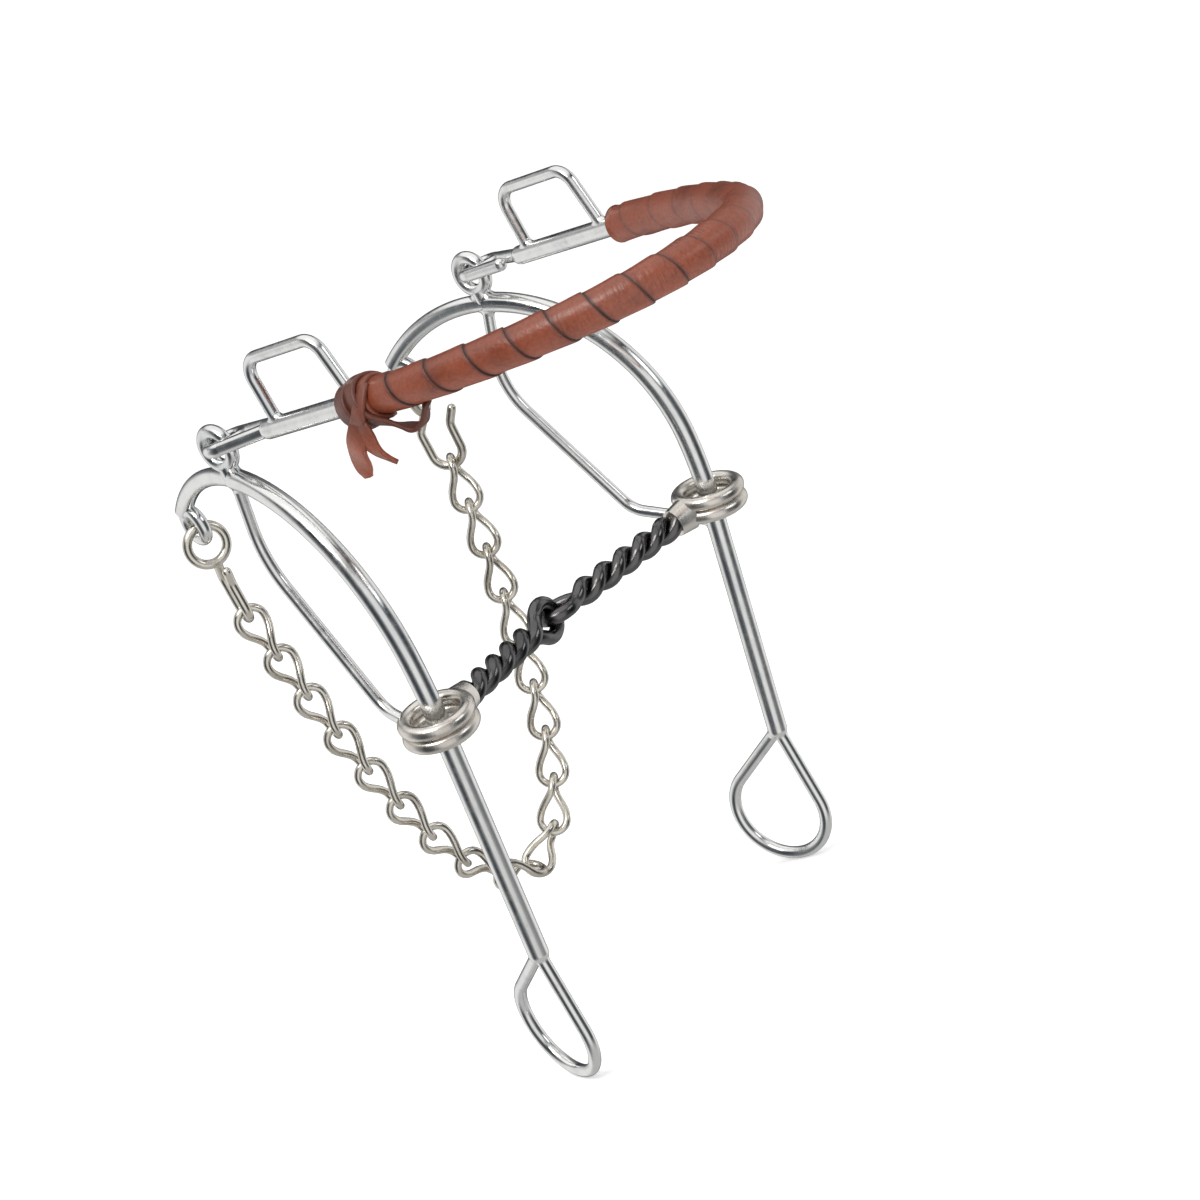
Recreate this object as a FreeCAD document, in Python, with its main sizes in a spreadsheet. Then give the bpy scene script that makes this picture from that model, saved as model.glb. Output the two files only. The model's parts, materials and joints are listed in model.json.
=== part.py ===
"""Combination gag hackamore: rod noseband, two gag cheeks, jointed twisted mouthpiece, curb chain.

Frame: X across the horse's head (right cheek +X), +Y forward, +Z up, millimetres.
The origin is where the nose rests: the inner face of the wrapped noseband at its foremost point.
Rods are straight cylinders and torus arcs joined end to end, with a ball at each plain corner.
"""
import FreeCAD, Part
import math
import os

DRIVING = {
    # noseband
    "eye_half_width": 66.0, "nose_reach": 184.0, "leg_length": 90.0, "leg_taper": 2.1, "nose_radius": 46.0,
    "bar_rod": 6.8, "eye_rod": 4.8, "eye_bend": 6.5, "eye_play": 0.3, "eye_tail": 17.0, "eye_length": 30.0,
    "wrap_start": 85.0, "wrap_rod": 12.6, "knot_width": 17.0, "knot_depth": 13.0, "knot_length": 11.0,
    "tail_thickness": 2.6, "tail_width": 8.0, "tail_long": 24.0, "tail_short": 19.0,
    # headstall loops
    "headstall_rear": 36.0, "headstall_front": 77.0, "headstall_height": 24.0, "headstall_rod": 4.2,
    "headstall_corner": 7.0, "headstall_lean": 5.0,
    # cheeks, in the cheek's own plane: forward and down from the pivot
    "cheek_yaw": 10.8, "cheek_ring_bend": 6.5, "cheek_ring_rod": 4.8, "neck_rod": 6.6,
    "bow_rod": 7.4, "bow_radius": 68.8, "bow_back": 15.8, "bow_drop": 79.9, "bow_end": 3.0,
    "foot_radius": 150.0, "foot_turn": 9.5, "crotch_drop": 202.0,
    "curb_back": 50.9, "curb_drop": 28.5, "curb_bend": 5.6, "curb_rod": 4.6, "arm_rod": 6.4,
    "brace_rod": 4.2, "brace_kink_back": 12.5, "brace_kink_drop": 44.0, "brace_foot_forward": 16.0,
    "brace_foot_drop": 104.0, "brace_join_drop": 117.0, "brace_kink_radius": 30.0, "brace_foot_radius": 12.0,
    "rein_rod": 4.6, "rein_radius": 19.0, "rein_forward": 12.0, "rein_drop": 235.0,
    # mouthpiece
    "ring_drop": 107.7, "ring_bend": 11.0, "ring_rod": 5.1, "mouth_sag_back": 17.0, "mouth_sag_drop": 2.5,
    "ferrule_diameter": 10.8, "ferrule_length": 7.0, "strand_rod": 5.2, "strand_turns": 2.6, "strand_gap": 0.1,
    "collar_reach": 0.6, "link_bend": 6.2, "link_play": 0.3,
    # curb hooks and chain
    "hook_rod": 3.4, "hook_eye_bend": 7.0, "hook_length": 30.0, "hook_bend": 6.0, "hook_tip": 15.0,
    "chain_rod": 2.9, "chain_pitch": 18.4, "chain_bend": 5.3, "chain_twist": 42.0, "chain_play": 0.6,
    "chain_sag": 20.8, "chain_gap": -0.6, "chain_roll_left": -84.0, "links_a_side": 9.0,
}

doc = FreeCAD.newDocument("gag_hackamore")
sheet = doc.addObject("Spreadsheet::Sheet", "sizes")
for row, (alias, number) in enumerate(DRIVING.items(), start=1):
    sheet.set(f"A{row}", alias)
    sheet.set(f"B{row}", str(number))
    sheet.setAlias(f"B{row}", alias)
doc.recompute()


class Sizes:
    """The sheet's cells as attributes."""

    def __getattr__(self, alias):
        return float(sheet.get(alias))


size = Sizes()
Vector = FreeCAD.Vector
made = []


# ---- rods -------------------------------------------------------------------------------------------------------

def axis_rotation(direction, start=None):
    """Turns +Z to direction, and +X to start where that is given."""
    if start is None:
        return FreeCAD.Rotation(Vector(0, 0, 1), direction)
    side = direction.cross(start)
    return FreeCAD.Rotation(start, side, direction, "ZXY")


def straight(a, b, rod):
    """A straight rod from a to b; rod is the alias of its diameter."""
    run = doc.addObject("Part::Cylinder", "run")
    run.setExpression("Radius", f"sizes.{rod} / 2")
    run.Height = (b - a).Length
    run.Placement = FreeCAD.Placement(a, axis_rotation(b - a))
    return run


def ball(centre, rod):
    """A ball of the rod's diameter, for a plain corner or a rounded end."""
    corner = doc.addObject("Part::Sphere", "corner")
    corner.setExpression("Radius", f"sizes.{rod} / 2")
    corner.Placement.Base = centre
    return corner


def bend(centre, normal, start, radius, turn, rod):
    """A torus arc: start is the unit vector from the centre to the first point, turn its angle in degrees."""
    arc = doc.addObject("Part::Torus", "bend")
    arc.Radius1 = radius
    arc.setExpression("Radius2", f"sizes.{rod} / 2")
    arc.Angle3 = turn
    arc.Placement = FreeCAD.Placement(centre, axis_rotation(normal, start))
    return arc


def hoop(centre, normal, radius, rod):
    """A whole ring; radius is the alias of its centreline radius."""
    ring = doc.addObject("Part::Torus", "hoop")
    ring.setExpression("Radius1", f"sizes.{radius}")
    ring.setExpression("Radius2", f"sizes.{rod} / 2")
    ring.Placement = FreeCAD.Placement(centre, axis_rotation(normal))
    return ring


def rod_path(points, radii, rod):
    """Straight runs between points, each inner corner rounded by its radius (0 leaves a ball)."""
    pieces = []
    cursor = points[0]
    for index in range(1, len(points) - 1):
        corner = points[index]
        arrive = (corner - points[index - 1]).normalize()
        leave = (points[index + 1] - corner).normalize()
        turn = arrive.getAngle(leave)
        radius = radii[index - 1]
        if radius == 0:
            pieces += [straight(cursor, corner, rod), ball(corner, rod)]
            cursor = corner
            continue
        trim = radius * math.tan(turn / 2)
        normal = arrive.cross(leave).normalize()
        first = corner - arrive * trim
        inward = normal.cross(arrive)
        centre = first + inward * radius
        pieces.append(straight(cursor, first, rod))
        pieces.append(bend(centre, normal, inward * -1, radius, math.degrees(turn), rod))
        cursor = corner + leave * trim
    pieces.append(straight(cursor, points[-1], rod))
    return pieces


def fuse(label, pieces, place=None):
    """One solid of the pieces, named and placed as a sub-part."""
    joined = doc.addObject("Part::MultiFuse", label)
    joined.Shapes = pieces
    joined.Refine = False
    return finish(label, joined, place)


def cope(label, pieces, tools, place=None):
    """The pieces as one solid, cut back to where the tools' surfaces are."""
    body = pieces[0]
    if len(pieces) > 1:
        body = doc.addObject("Part::MultiFuse", label + "_blank")
        body.Shapes = pieces
    cutter = tools[0]
    if len(tools) > 1:
        cutter = doc.addObject("Part::MultiFuse", label + "_cutter")
        cutter.Shapes = tools
    trimmed = doc.addObject("Part::Cut", label)
    trimmed.Base = body
    trimmed.Tool = cutter
    return finish(label, trimmed, place)


def finish(label, piece, place=None):
    """Names and places a piece, and puts it on the list of sub-parts to write."""
    piece.Label = label
    if place is not None:
        piece.Placement = place
    made.append(piece)
    return piece


# ---- shared places ----------------------------------------------------------------------------------------------

EYE_Y = size.wrap_rod / 2 - size.nose_reach
YAW = math.radians(size.cheek_yaw)


def cheek_point(side, forward, down):
    """A point of the cheek's plane, which is yawed outwards about the upright through the pivot."""
    return Vector(side * (size.eye_half_width + math.sin(YAW) * forward), EYE_Y + math.cos(YAW) * forward, -down)


def cheek_axes(side):
    """Forward and outward-normal directions of a cheek's plane."""
    forward = Vector(side * math.sin(YAW), math.cos(YAW), 0)
    return forward, Vector(math.cos(YAW), -side * math.sin(YAW), 0)


def bow_point(side, degrees):
    """A point of the bow's arc; 0 is straight forward of its centre and positive is below."""
    forward = size.bow_radius * math.cos(math.radians(degrees))
    down = size.bow_radius * math.sin(math.radians(degrees))
    return cheek_point(side, forward - size.bow_back, size.bow_drop + down)


def foot_line():
    """Forward and down of the bow foot's end, and the shank's forward run for each millimetre down."""
    last = math.radians(size.bow_end)
    lean = math.radians(size.bow_end + size.foot_turn)
    back = size.foot_radius - size.bow_radius
    forward = -size.bow_back - back * math.cos(last) + size.foot_radius * math.cos(lean)
    down = size.bow_drop - back * math.sin(last) + size.foot_radius * math.sin(lean)
    return forward, down, -math.tan(lean)


def shank_forward(down):
    """How far forward the shank's centreline is at a drop."""
    forward, start, slope = foot_line()
    return forward + slope * (down - start)


# ---- noseband ---------------------------------------------------------------------------------------------------

def noseband_runs(rod, start):
    """The U from start, measured forward of the eyes: leg, shoulder, nose, shoulder, leg."""
    taper = math.radians(size.leg_taper)
    across = Vector(math.cos(taper), math.sin(taper), 0)
    nose = Vector(0, EYE_Y + size.nose_reach - size.nose_radius, 0)
    leg_end = Vector(size.eye_half_width - size.leg_length * math.tan(taper), EYE_Y + size.leg_length, 0)
    leg_start = Vector(size.eye_half_width - start * math.tan(taper), EYE_Y + start, 0)
    gap = leg_end - nose
    shoulder = (gap.dot(gap) - size.nose_radius**2) / (2 * (gap.dot(across) - size.nose_radius))
    centre = leg_end - across * shoulder
    sweep = math.atan2(nose.y - centre.y, nose.x - centre.x)
    turn = math.degrees(sweep) - size.leg_taper
    pieces = []
    for side in (1, -1):
        mirror = lambda point: Vector(side * point.x, point.y, point.z)
        up = Vector(0, 0, side)
        pieces.append(straight(mirror(leg_start), mirror(leg_end), rod))
        pieces.append(bend(mirror(centre), up, mirror(across), shoulder, turn, rod))
    first = Vector(math.cos(sweep), math.sin(sweep), 0)
    pieces.append(bend(nose, Vector(0, 0, 1), first, size.nose_radius, 180 - 2 * math.degrees(sweep), rod))
    return pieces


def leg_point(side, along):
    """A point of the noseband leg's centreline, measured forward of its eye."""
    return Vector(side * (size.eye_half_width - along * math.tan(math.radians(size.leg_taper))), EYE_Y + along, 0)


TAIL_SINK, APEX_SINK, BAR_END_SINK, OUTER_ATTACH = 0.4, 1.5, 0.2, 60.0


def build_noseband():
    """The bent rod with its two wrapped eyes, and the leather sleeve over its front."""
    pieces = noseband_runs("bar_rod", size.eye_length)
    taper = math.tan(math.radians(size.leg_taper))
    for side in (1, -1):
        eye = Vector(side * size.eye_half_width, EYE_Y + size.eye_bend, 0)
        pieces.append(hoop(eye, Vector(0, 0, 1), "eye_bend", "eye_rod"))
        turn = math.radians(OUTER_ATTACH)
        attach = eye + Vector(side * math.sin(turn), math.cos(turn), 0) * size.eye_bend
        pieces.append(straight(attach, leg_point(side, size.eye_length + APEX_SINK), "eye_rod"))
        pieces.append(ball(leg_point(side, size.eye_length + BAR_END_SINK), "bar_rod"))
        tail = eye + Vector(-side * size.eye_bend, 0, 0)
        beside = (size.bar_rod + size.eye_rod) / 2 - TAIL_SINK
        tip = eye + Vector(-side * (beside + size.eye_tail * taper), size.eye_tail, 0)
        pieces += [straight(tail, tip, "eye_rod"), ball(tip, "eye_rod")]
    core = fuse("noseband_core", pieces)
    sleeve = noseband_runs("wrap_rod", size.wrap_start)
    inner = noseband_runs("bar_rod", size.wrap_start - size.bar_rod)
    wrap = cope("noseband_wrap", sleeve, inner)
    return core, wrap


REAR_LEAN_SHARE = 0.2
GUARD_SPARE = 20.0


def build_headstall_loop(side, label):
    """The slot for the headstall: a bent rod standing on the leg, its front side leaning back."""
    top = Vector(0, 0, size.headstall_height)
    rear, front = leg_point(side, size.headstall_rear), leg_point(side, size.headstall_front)
    lean = Vector(0, -size.headstall_lean, 0)
    points = [rear, rear + top + lean * REAR_LEAN_SHARE, front + top + lean, front]
    loop = rod_path(points, [size.headstall_corner] * 2, "headstall_rod")
    ends = (size.headstall_rear - GUARD_SPARE, size.headstall_front + GUARD_SPARE)
    return cope(label, loop, [straight(leg_point(side, ends[0]), leg_point(side, ends[1]), "bar_rod")])


KNOT_BACK, KNOT_DROP, KNOT_SINK = 7.0, 1.0, 1.0
TAIL_BACK, TAIL_STAND, TAIL_SPLAY, TAIL_SPREAD = 11.0, 0.6, 1.6, 0.2


def build_knot(beside):
    """The strip's end, tied outside the right leg: a knot and two short flat tails."""
    half = size.wrap_rod / 2
    centre = leg_point(1, size.wrap_start)
    lump = doc.addObject("Part::Ellipsoid", "lump")
    lump.setExpression("Radius1", "sizes.knot_depth / 2")
    lump.setExpression("Radius2", "sizes.knot_length / 2")
    lump.setExpression("Radius3", "sizes.knot_width / 2")
    place = centre + Vector(half - KNOT_SINK, -KNOT_BACK, -KNOT_DROP)
    lump.Placement = FreeCAD.Placement(place, FreeCAD.Rotation(Vector(0, 1, 0), 90))
    pieces = [lump]
    for drift, drop in ((-7.0, "tail_long"), (6.0, "tail_short")):
        tail = doc.addObject("Part::Box", "tail")
        tail.setExpression("Length", "sizes.tail_thickness")
        tail.setExpression("Width", "sizes.tail_width")
        tail.setExpression("Height", f"sizes.{drop}")
        tilt = FreeCAD.Rotation(Vector(1, 0, 0), -drift * TAIL_SPLAY)
        corner = Vector(half + TAIL_STAND, drift * TAIL_SPREAD - TAIL_BACK, -getattr(size, drop))
        tail.Placement = FreeCAD.Placement(centre + corner, tilt)
        pieces.append(tail)
    ahead = leg_point(1, size.wrap_start + GUARD_SPARE)
    guard = [straight(leg_point(1, size.wrap_start - GUARD_SPARE), centre, "bar_rod"), straight(centre, ahead, "wrap_rod")]
    return cope("wrap_knot", pieces, guard + [beside])


# ---- cheeks -----------------------------------------------------------------------------------------------------

ARM_SHORT = 3.0


def build_cheek(side, hand):
    """One gag cheek: pivot ring and neck, bow and shank, curb arm and eye, rear brace, rein loop."""
    forward, normal = cheek_axes(side)
    down = Vector(0, 0, -1)
    arch_normal = forward.cross(down)
    bow_centre = cheek_point(side, -size.bow_back, size.bow_drop)

    def arch(first, turn, rod):
        """An arc of the bow's circle, from an angle, forwards and down."""
        angle = math.radians(first)
        start = forward * math.cos(angle) + down * math.sin(angle)
        return bend(bow_centre, arch_normal, start, size.bow_radius, turn, rod)

    top = -math.degrees(math.acos(size.bow_back / size.bow_radius))
    bow = [arch(top, size.bow_end - top, "bow_rod")]
    last = math.radians(size.bow_end)
    foot_start = forward * math.cos(last) + down * math.sin(last)
    foot_centre = bow_centre - foot_start * (size.foot_radius - size.bow_radius)
    bow.append(bend(foot_centre, arch_normal, foot_start, size.foot_radius, size.foot_turn, "bow_rod"))
    foot_forward, foot_down, _ = foot_line()
    crotch = cheek_point(side, shank_forward(size.crotch_drop), size.crotch_drop)
    bow += [straight(cheek_point(side, foot_forward, foot_down), crotch, "bow_rod"), ball(crotch, "bow_rod")]
    bow_piece = fuse(f"cheek_bow_{hand}", bow)

    curb = -math.degrees(math.acos((size.bow_back - size.curb_back - ARM_SHORT) / size.bow_radius))
    arm = [arch(curb, top - curb, "arm_rod")]
    arm.append(hoop(cheek_point(side, -size.curb_back, size.curb_drop), normal, "curb_bend", "curb_rod"))
    arm_piece = fuse(f"curb_arm_{hand}", arm)

    hang = size.cheek_ring_bend - (size.cheek_ring_rod + size.eye_rod) / 2 - size.eye_play
    ring_centre = Vector(side * size.eye_half_width, EYE_Y, -hang)
    ring = [hoop(ring_centre, Vector(1, 0, 0), "cheek_ring_bend", "cheek_ring_rod")]
    neck_top = ring_centre - Vector(0, 0, size.cheek_ring_bend)
    ring.append(straight(neck_top, bow_point(side, top), "neck_rod"))
    ring_piece = cope(f"cheek_ring_{hand}", ring, [bow_piece, arm_piece])

    join = cheek_point(side, shank_forward(size.brace_join_drop), size.brace_join_drop)
    brace = rod_path(
        [bow_point(side, top), cheek_point(side, -size.brace_kink_back, size.brace_kink_drop),
         cheek_point(side, size.brace_foot_forward, size.brace_foot_drop), join],
        [size.brace_kink_radius, size.brace_foot_radius], "brace_rod")
    cope(f"brace_{hand}", brace, [bow_piece, arm_piece, ring_piece])

    middle = cheek_point(side, size.rein_forward, size.rein_drop)
    length = (middle - crotch).Length
    axis = (middle - crotch).normalize()
    spread = math.asin(size.rein_radius / length)
    runs, ends = [], []
    for way in (1, -1):
        line = FreeCAD.Rotation(arch_normal, math.degrees(spread) * way).multVec(axis)
        ends.append(crotch + line * (length * math.cos(spread)))
        runs.append(straight(crotch, ends[-1], "rein_rod"))
    first = (ends[1] - middle).normalize()
    runs.append(bend(middle, arch_normal, first, size.rein_radius, 180 + 2 * math.degrees(spread), "rein_rod"))
    cope(f"rein_loop_{hand}", runs, [bow_piece])


# ---- mouthpiece -------------------------------------------------------------------------------------------------

COIL_SINK = 0.05
FERRULE_FLARE, FERRULE_NIP = 0.8, 0.2
COLLAR_SHARE = 0.95


def build_mouth(side, hand):
    """Half the mouthpiece: a two-turn ring round the shank, its ferrule, and two twisted strands with a loop head."""
    centre = cheek_point(side, shank_forward(size.ring_drop), size.ring_drop)
    forward, _ = cheek_axes(side)
    _, _, slope = foot_line()
    ring_axis = (forward * slope + Vector(0, 0, -1)).normalize()
    link = Vector(0, centre.y - size.mouth_sag_back, centre.z - size.mouth_sag_drop)
    inward = (link - centre).normalize()
    length = (link - centre).Length

    hoops = [hoop(centre + ring_axis * (way * (size.ring_rod / 2 - COIL_SINK)), ring_axis, "ring_bend", "ring_rod")
             for way in (1, -1)]
    ring_piece = fuse(f"mouth_ring_{hand}", hoops)

    ferrule_end = size.ring_bend + size.ferrule_length
    blank = doc.addObject("Part::Cone", "ferrule")
    blank.setExpression("Radius1", f"sizes.ferrule_diameter / 2 + {FERRULE_FLARE}")
    blank.setExpression("Radius2", f"sizes.ferrule_diameter / 2 - {FERRULE_NIP}")
    blank.setExpression("Height", "sizes.ferrule_length")
    blank.Placement = FreeCAD.Placement(centre + inward * size.ring_bend, axis_rotation(inward))
    cope(f"mouth_ferrule_{hand}", [blank], [ring_piece])

    wire = size.strand_rod / 2
    apex = wire + size.link_play / 2
    loop_centre = Vector(side * (size.link_bend - apex), link.y, link.z)
    loop_axis = Vector(0, 1, 0) if side > 0 else Vector(0, 0, 1)
    head_start = length - (loop_centre - link).Length - size.link_bend - wire - size.collar_reach
    coil = wire + size.strand_gap / 2
    around = 2 * math.pi * coil
    guess = head_start - ferrule_end
    overhang = wire * around / math.hypot(around, guess / size.strand_turns) + size.strand_gap
    strand_length = guess - 2 * overhang
    pitch = strand_length / size.strand_turns
    strands = []
    for phase in (0, 180):
        helix = doc.addObject("Part::Helix", "strand_line")
        helix.Radius = coil
        helix.Height = strand_length
        helix.Pitch = pitch
        helix.LocalCoord = "Left-handed"
        section = doc.addObject("Part::Circle", "strand_section")
        section.setExpression("Radius", "sizes.strand_rod / 2")
        section.Placement = FreeCAD.Placement(Vector(coil, 0, 0), axis_rotation(Vector(0, -around, pitch)))
        strand = doc.addObject("Part::Sweep", "strand")
        strand.Sections = [section]
        strand.Spine = (helix, ["Edge1"])
        strand.Solid = True
        strand.Frenet = True
        turn = axis_rotation(inward) * FreeCAD.Rotation(Vector(0, 0, 1), phase)
        strand.Placement = FreeCAD.Placement(centre + inward * (ferrule_end + overhang), turn)
        strands.append(strand)
    eye = hoop(loop_centre, loop_axis, "link_bend", "strand_rod")
    collar = doc.addObject("Part::Cylinder", "collar")
    collar.setExpression("Radius", f"sizes.strand_rod * {COLLAR_SHARE}")
    collar.Height = size.collar_reach + wire
    collar.Placement = FreeCAD.Placement(centre + inward * head_start, axis_rotation(inward))
    head = doc.addObject("Part::Fuse", "loop_head")
    head.Base, head.Tool = eye, collar
    bar = doc.addObject("Part::Compound", f"mouth_bar_{hand}")
    bar.Links = strands + [head]
    finish(f"mouth_bar_{hand}", bar)


# ---- curb hooks and chain ---------------------------------------------------------------------------------------

def hook_contact(side):
    """Where the hook's eye hangs on the curb eye's lowest point."""
    return cheek_point(side, -size.curb_back, size.curb_drop + size.curb_bend)


def hook_eye_centre(side):
    """The centre of the hook's eye, hung with a little play."""
    hang = size.hook_eye_bend - (size.hook_rod + size.curb_rod) / 2 - size.chain_play
    return hook_contact(side) - Vector(0, 0, hang)


HOOK_SHOULDER, HOOK_SHOULDER_BEND = 7.0, 5.0
TIP_LEAN, TIP_FLARE, TIP_DROP, TIP_BEND = 0.5, 4.0, 5.0, 6.0
BEND_SPARE = 0.05


def build_hook(side, hand, yaw):
    """Round eye, then a hook bent in the plane square to it, open forwards."""
    turn = FreeCAD.Rotation(Vector(0, 0, 1), yaw)
    centre = hook_eye_centre(side)

    def local(across, along, down):
        return centre + turn.multVec(Vector(across, along, -down))

    eye = [hoop(centre, turn.multVec(Vector(0, 1, 0)), "hook_eye_bend", "hook_rod")]
    low = size.hook_length
    reach = size.hook_bend
    tip = low - size.hook_tip
    points = [local(0, 0, size.hook_eye_bend), local(0, -reach, size.hook_eye_bend + HOOK_SHOULDER),
              local(0, -reach, low), local(0, reach, low), local(0, reach + TIP_LEAN, tip),
              local(0, reach + TIP_FLARE, tip - TIP_DROP)]
    around = reach - BEND_SPARE
    hook = rod_path(points, [HOOK_SHOULDER_BEND, around, around, TIP_BEND], "hook_rod")
    return fuse(f"curb_hook_{hand}", eye + hook + [ball(points[-1], "hook_rod")])


def chain_joints():
    """Joint points of a half chain from the top: across and up, on a catenary of whole links."""
    count = round(size.links_a_side)
    points = [(0.0, 0.0)]
    for index in range(count):
        angle = math.atan((index + 0.5) * size.chain_pitch / size.chain_sag)
        across, up = points[-1]
        points.append((across + size.chain_pitch * math.cos(angle), up + size.chain_pitch * math.sin(angle)))
    return points


def build_link(label, low, high, roll):
    """A curb link: two half hoops in planes turned against each other, joined by two straight sides."""
    reach = size.chain_pitch / 2 + size.chain_rod / 2 + size.chain_play / 2 - size.chain_bend
    up = Vector(0, 0, 1)
    ends = []
    pieces = []
    for way in (1, -1):
        spread = FreeCAD.Rotation(up, way * size.chain_twist).multVec(Vector(0, 1, 0))
        centre = up * (reach * way)
        pieces.append(bend(centre, spread.cross(up * way), spread, size.chain_bend, 180, "chain_rod"))
        ends.append((centre + spread * size.chain_bend, centre - spread * size.chain_bend))
    for a, b in zip(*ends):
        pieces += [straight(a, b, "chain_rod"), ball(a, "chain_rod"), ball(b, "chain_rod")]
    lay = FreeCAD.Rotation(up, high - low) * FreeCAD.Rotation(up, roll)
    return fuse(label, pieces, FreeCAD.Placement((high + low) * 0.5, lay))


def build_chain():
    """Two mirrored half chains, each from its hook's bend down to the middle."""
    joints = chain_joints()
    count = len(joints) - 1
    rise = joints[-1][1]
    for side, first in ((1, 1), (-1, count + 1)):
        seat = hook_eye_centre(side)
        seat = seat - Vector(0, 0, size.hook_length - size.hook_rod / 2)
        shift = (abs(seat.x) - size.chain_gap) / joints[-1][0]
        for index in range(count):
            upper, lower = joints[count - index], joints[count - index - 1]
            high = Vector(side * (size.chain_gap + upper[0] * shift), seat.y, seat.z - rise + upper[1])
            low = Vector(side * (size.chain_gap + lower[0] * shift), seat.y, seat.z - rise + lower[1])
            roll = 0 if side > 0 else size.chain_roll_left * (count - index) / count
            build_link(f"curb_link_{first + index:02d}", low, high, roll)


build_noseband()
loops = [build_headstall_loop(side, f"headstall_loop_{hand}") for side, hand in ((1, "right"), (-1, "left"))]
build_knot(loops[0])
for side, hand in ((1, "right"), (-1, "left")):
    build_cheek(side, hand)
for side, hand in ((1, "right"), (-1, "left")):
    build_mouth(side, hand)
for side, hand, yaw in ((1, "right", -25.0), (-1, "left", 30.0)):
    build_hook(side, hand, yaw)
build_chain()
doc.recompute()

faults = [piece.Label for piece in doc.Objects if "Invalid" in piece.State or "Error" in piece.State]
for piece in made:
    shape = piece.Shape
    if shape.isNull() or not shape.isValid() or shape.Volume <= 0:
        faults.append(piece.Label)
if faults:
    raise SystemExit("failed: " + ", ".join(faults))

os.makedirs("parts", exist_ok=True)
for piece in made:
    piece.Shape.exportStep(f"parts/{piece.Label}.step")
print(len(made), "sub-parts")
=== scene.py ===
"""Looks for the combination gag hackamore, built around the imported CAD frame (metres, the CAD's own frame).

The steel rods, rings and hooks are the CAD nodes with worn polished or satin metal. The leather wrap, its
knot, the twisted mouthpiece wires and the curb links are modelled here, and weld beads blend the rod junctions.
"""

import json
import math

import bmesh
import bpy
from mathutils import Matrix, Quaternion, Vector
from mathutils.bvhtree import BVHTree


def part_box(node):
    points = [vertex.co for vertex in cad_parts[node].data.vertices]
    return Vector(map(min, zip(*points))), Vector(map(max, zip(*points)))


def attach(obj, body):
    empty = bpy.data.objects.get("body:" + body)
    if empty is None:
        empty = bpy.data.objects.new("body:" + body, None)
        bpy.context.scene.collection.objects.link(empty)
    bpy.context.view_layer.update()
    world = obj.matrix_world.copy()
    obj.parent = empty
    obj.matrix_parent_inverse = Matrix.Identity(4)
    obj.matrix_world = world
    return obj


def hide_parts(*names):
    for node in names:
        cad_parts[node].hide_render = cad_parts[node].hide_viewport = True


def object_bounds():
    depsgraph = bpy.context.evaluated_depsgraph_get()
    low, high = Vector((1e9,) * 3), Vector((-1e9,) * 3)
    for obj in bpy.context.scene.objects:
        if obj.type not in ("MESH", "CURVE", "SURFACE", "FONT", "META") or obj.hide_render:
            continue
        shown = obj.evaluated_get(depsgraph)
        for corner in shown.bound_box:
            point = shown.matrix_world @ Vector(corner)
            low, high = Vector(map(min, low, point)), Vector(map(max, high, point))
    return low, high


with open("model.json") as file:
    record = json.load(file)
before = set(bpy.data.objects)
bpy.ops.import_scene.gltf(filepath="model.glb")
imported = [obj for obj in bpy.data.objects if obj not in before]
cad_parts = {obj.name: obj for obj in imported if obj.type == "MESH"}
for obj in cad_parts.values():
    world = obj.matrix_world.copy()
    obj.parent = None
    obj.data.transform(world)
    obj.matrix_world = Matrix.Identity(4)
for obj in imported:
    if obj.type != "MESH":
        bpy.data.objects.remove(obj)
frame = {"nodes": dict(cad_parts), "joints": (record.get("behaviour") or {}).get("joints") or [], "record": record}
cad_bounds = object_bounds()

MM = 0.001
TAU = 2 * math.pi
UP = Vector((0, 0, 1))
SIDES = ((1, "right"), (-1, "left"))
joints = {joint["name"]: joint for joint in frame["joints"]}


# ---- camera and studio -----------------------------------------------------------------------------------

CAMERA_PLACE = (0.5842, 0.6023, 0.1433)
CAMERA_RIGHT = (-0.60984, 0.65136, -0.45147)
CAMERA_UP = (-0.50859, 0.11525, 0.85326)
CAMERA_BACK = (0.60781, 0.74997, 0.26100)
CAMERA_LENS = 84.83


def make_camera():
    data = bpy.data.cameras.new("photo_camera")
    data.lens = CAMERA_LENS
    data.sensor_width = 36.0
    data.clip_start, data.clip_end = 0.02, 30.0
    camera = bpy.data.objects.new("photo_camera", data)
    bpy.context.scene.collection.objects.link(camera)
    turn = Matrix((CAMERA_RIGHT, CAMERA_UP, CAMERA_BACK)).transposed().to_quaternion()
    camera.matrix_world = Matrix.Translation(CAMERA_PLACE) @ turn.to_matrix().to_4x4()
    bpy.context.scene.camera = camera


def add_node(tree, kind, values=None, **settings):
    """A shader node with its settings and its unlinked input values."""
    node = tree.nodes.new("ShaderNode" + kind)
    for key, value in settings.items():
        setattr(node, key, value)
    for key, value in (values or {}).items():
        if isinstance(value, bpy.types.NodeSocket):
            tree.links.new(value, node.inputs[key])
        else:
            node.inputs[key].default_value = value
    return node


def math_node(tree, operation, *values):
    node = tree.nodes.new("ShaderNodeMath")
    node.operation = operation
    for slot, value in enumerate(values):
        if isinstance(value, bpy.types.NodeSocket):
            tree.links.new(value, node.inputs[slot])
        else:
            node.inputs[slot].default_value = value
    return node.outputs[0]


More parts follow.
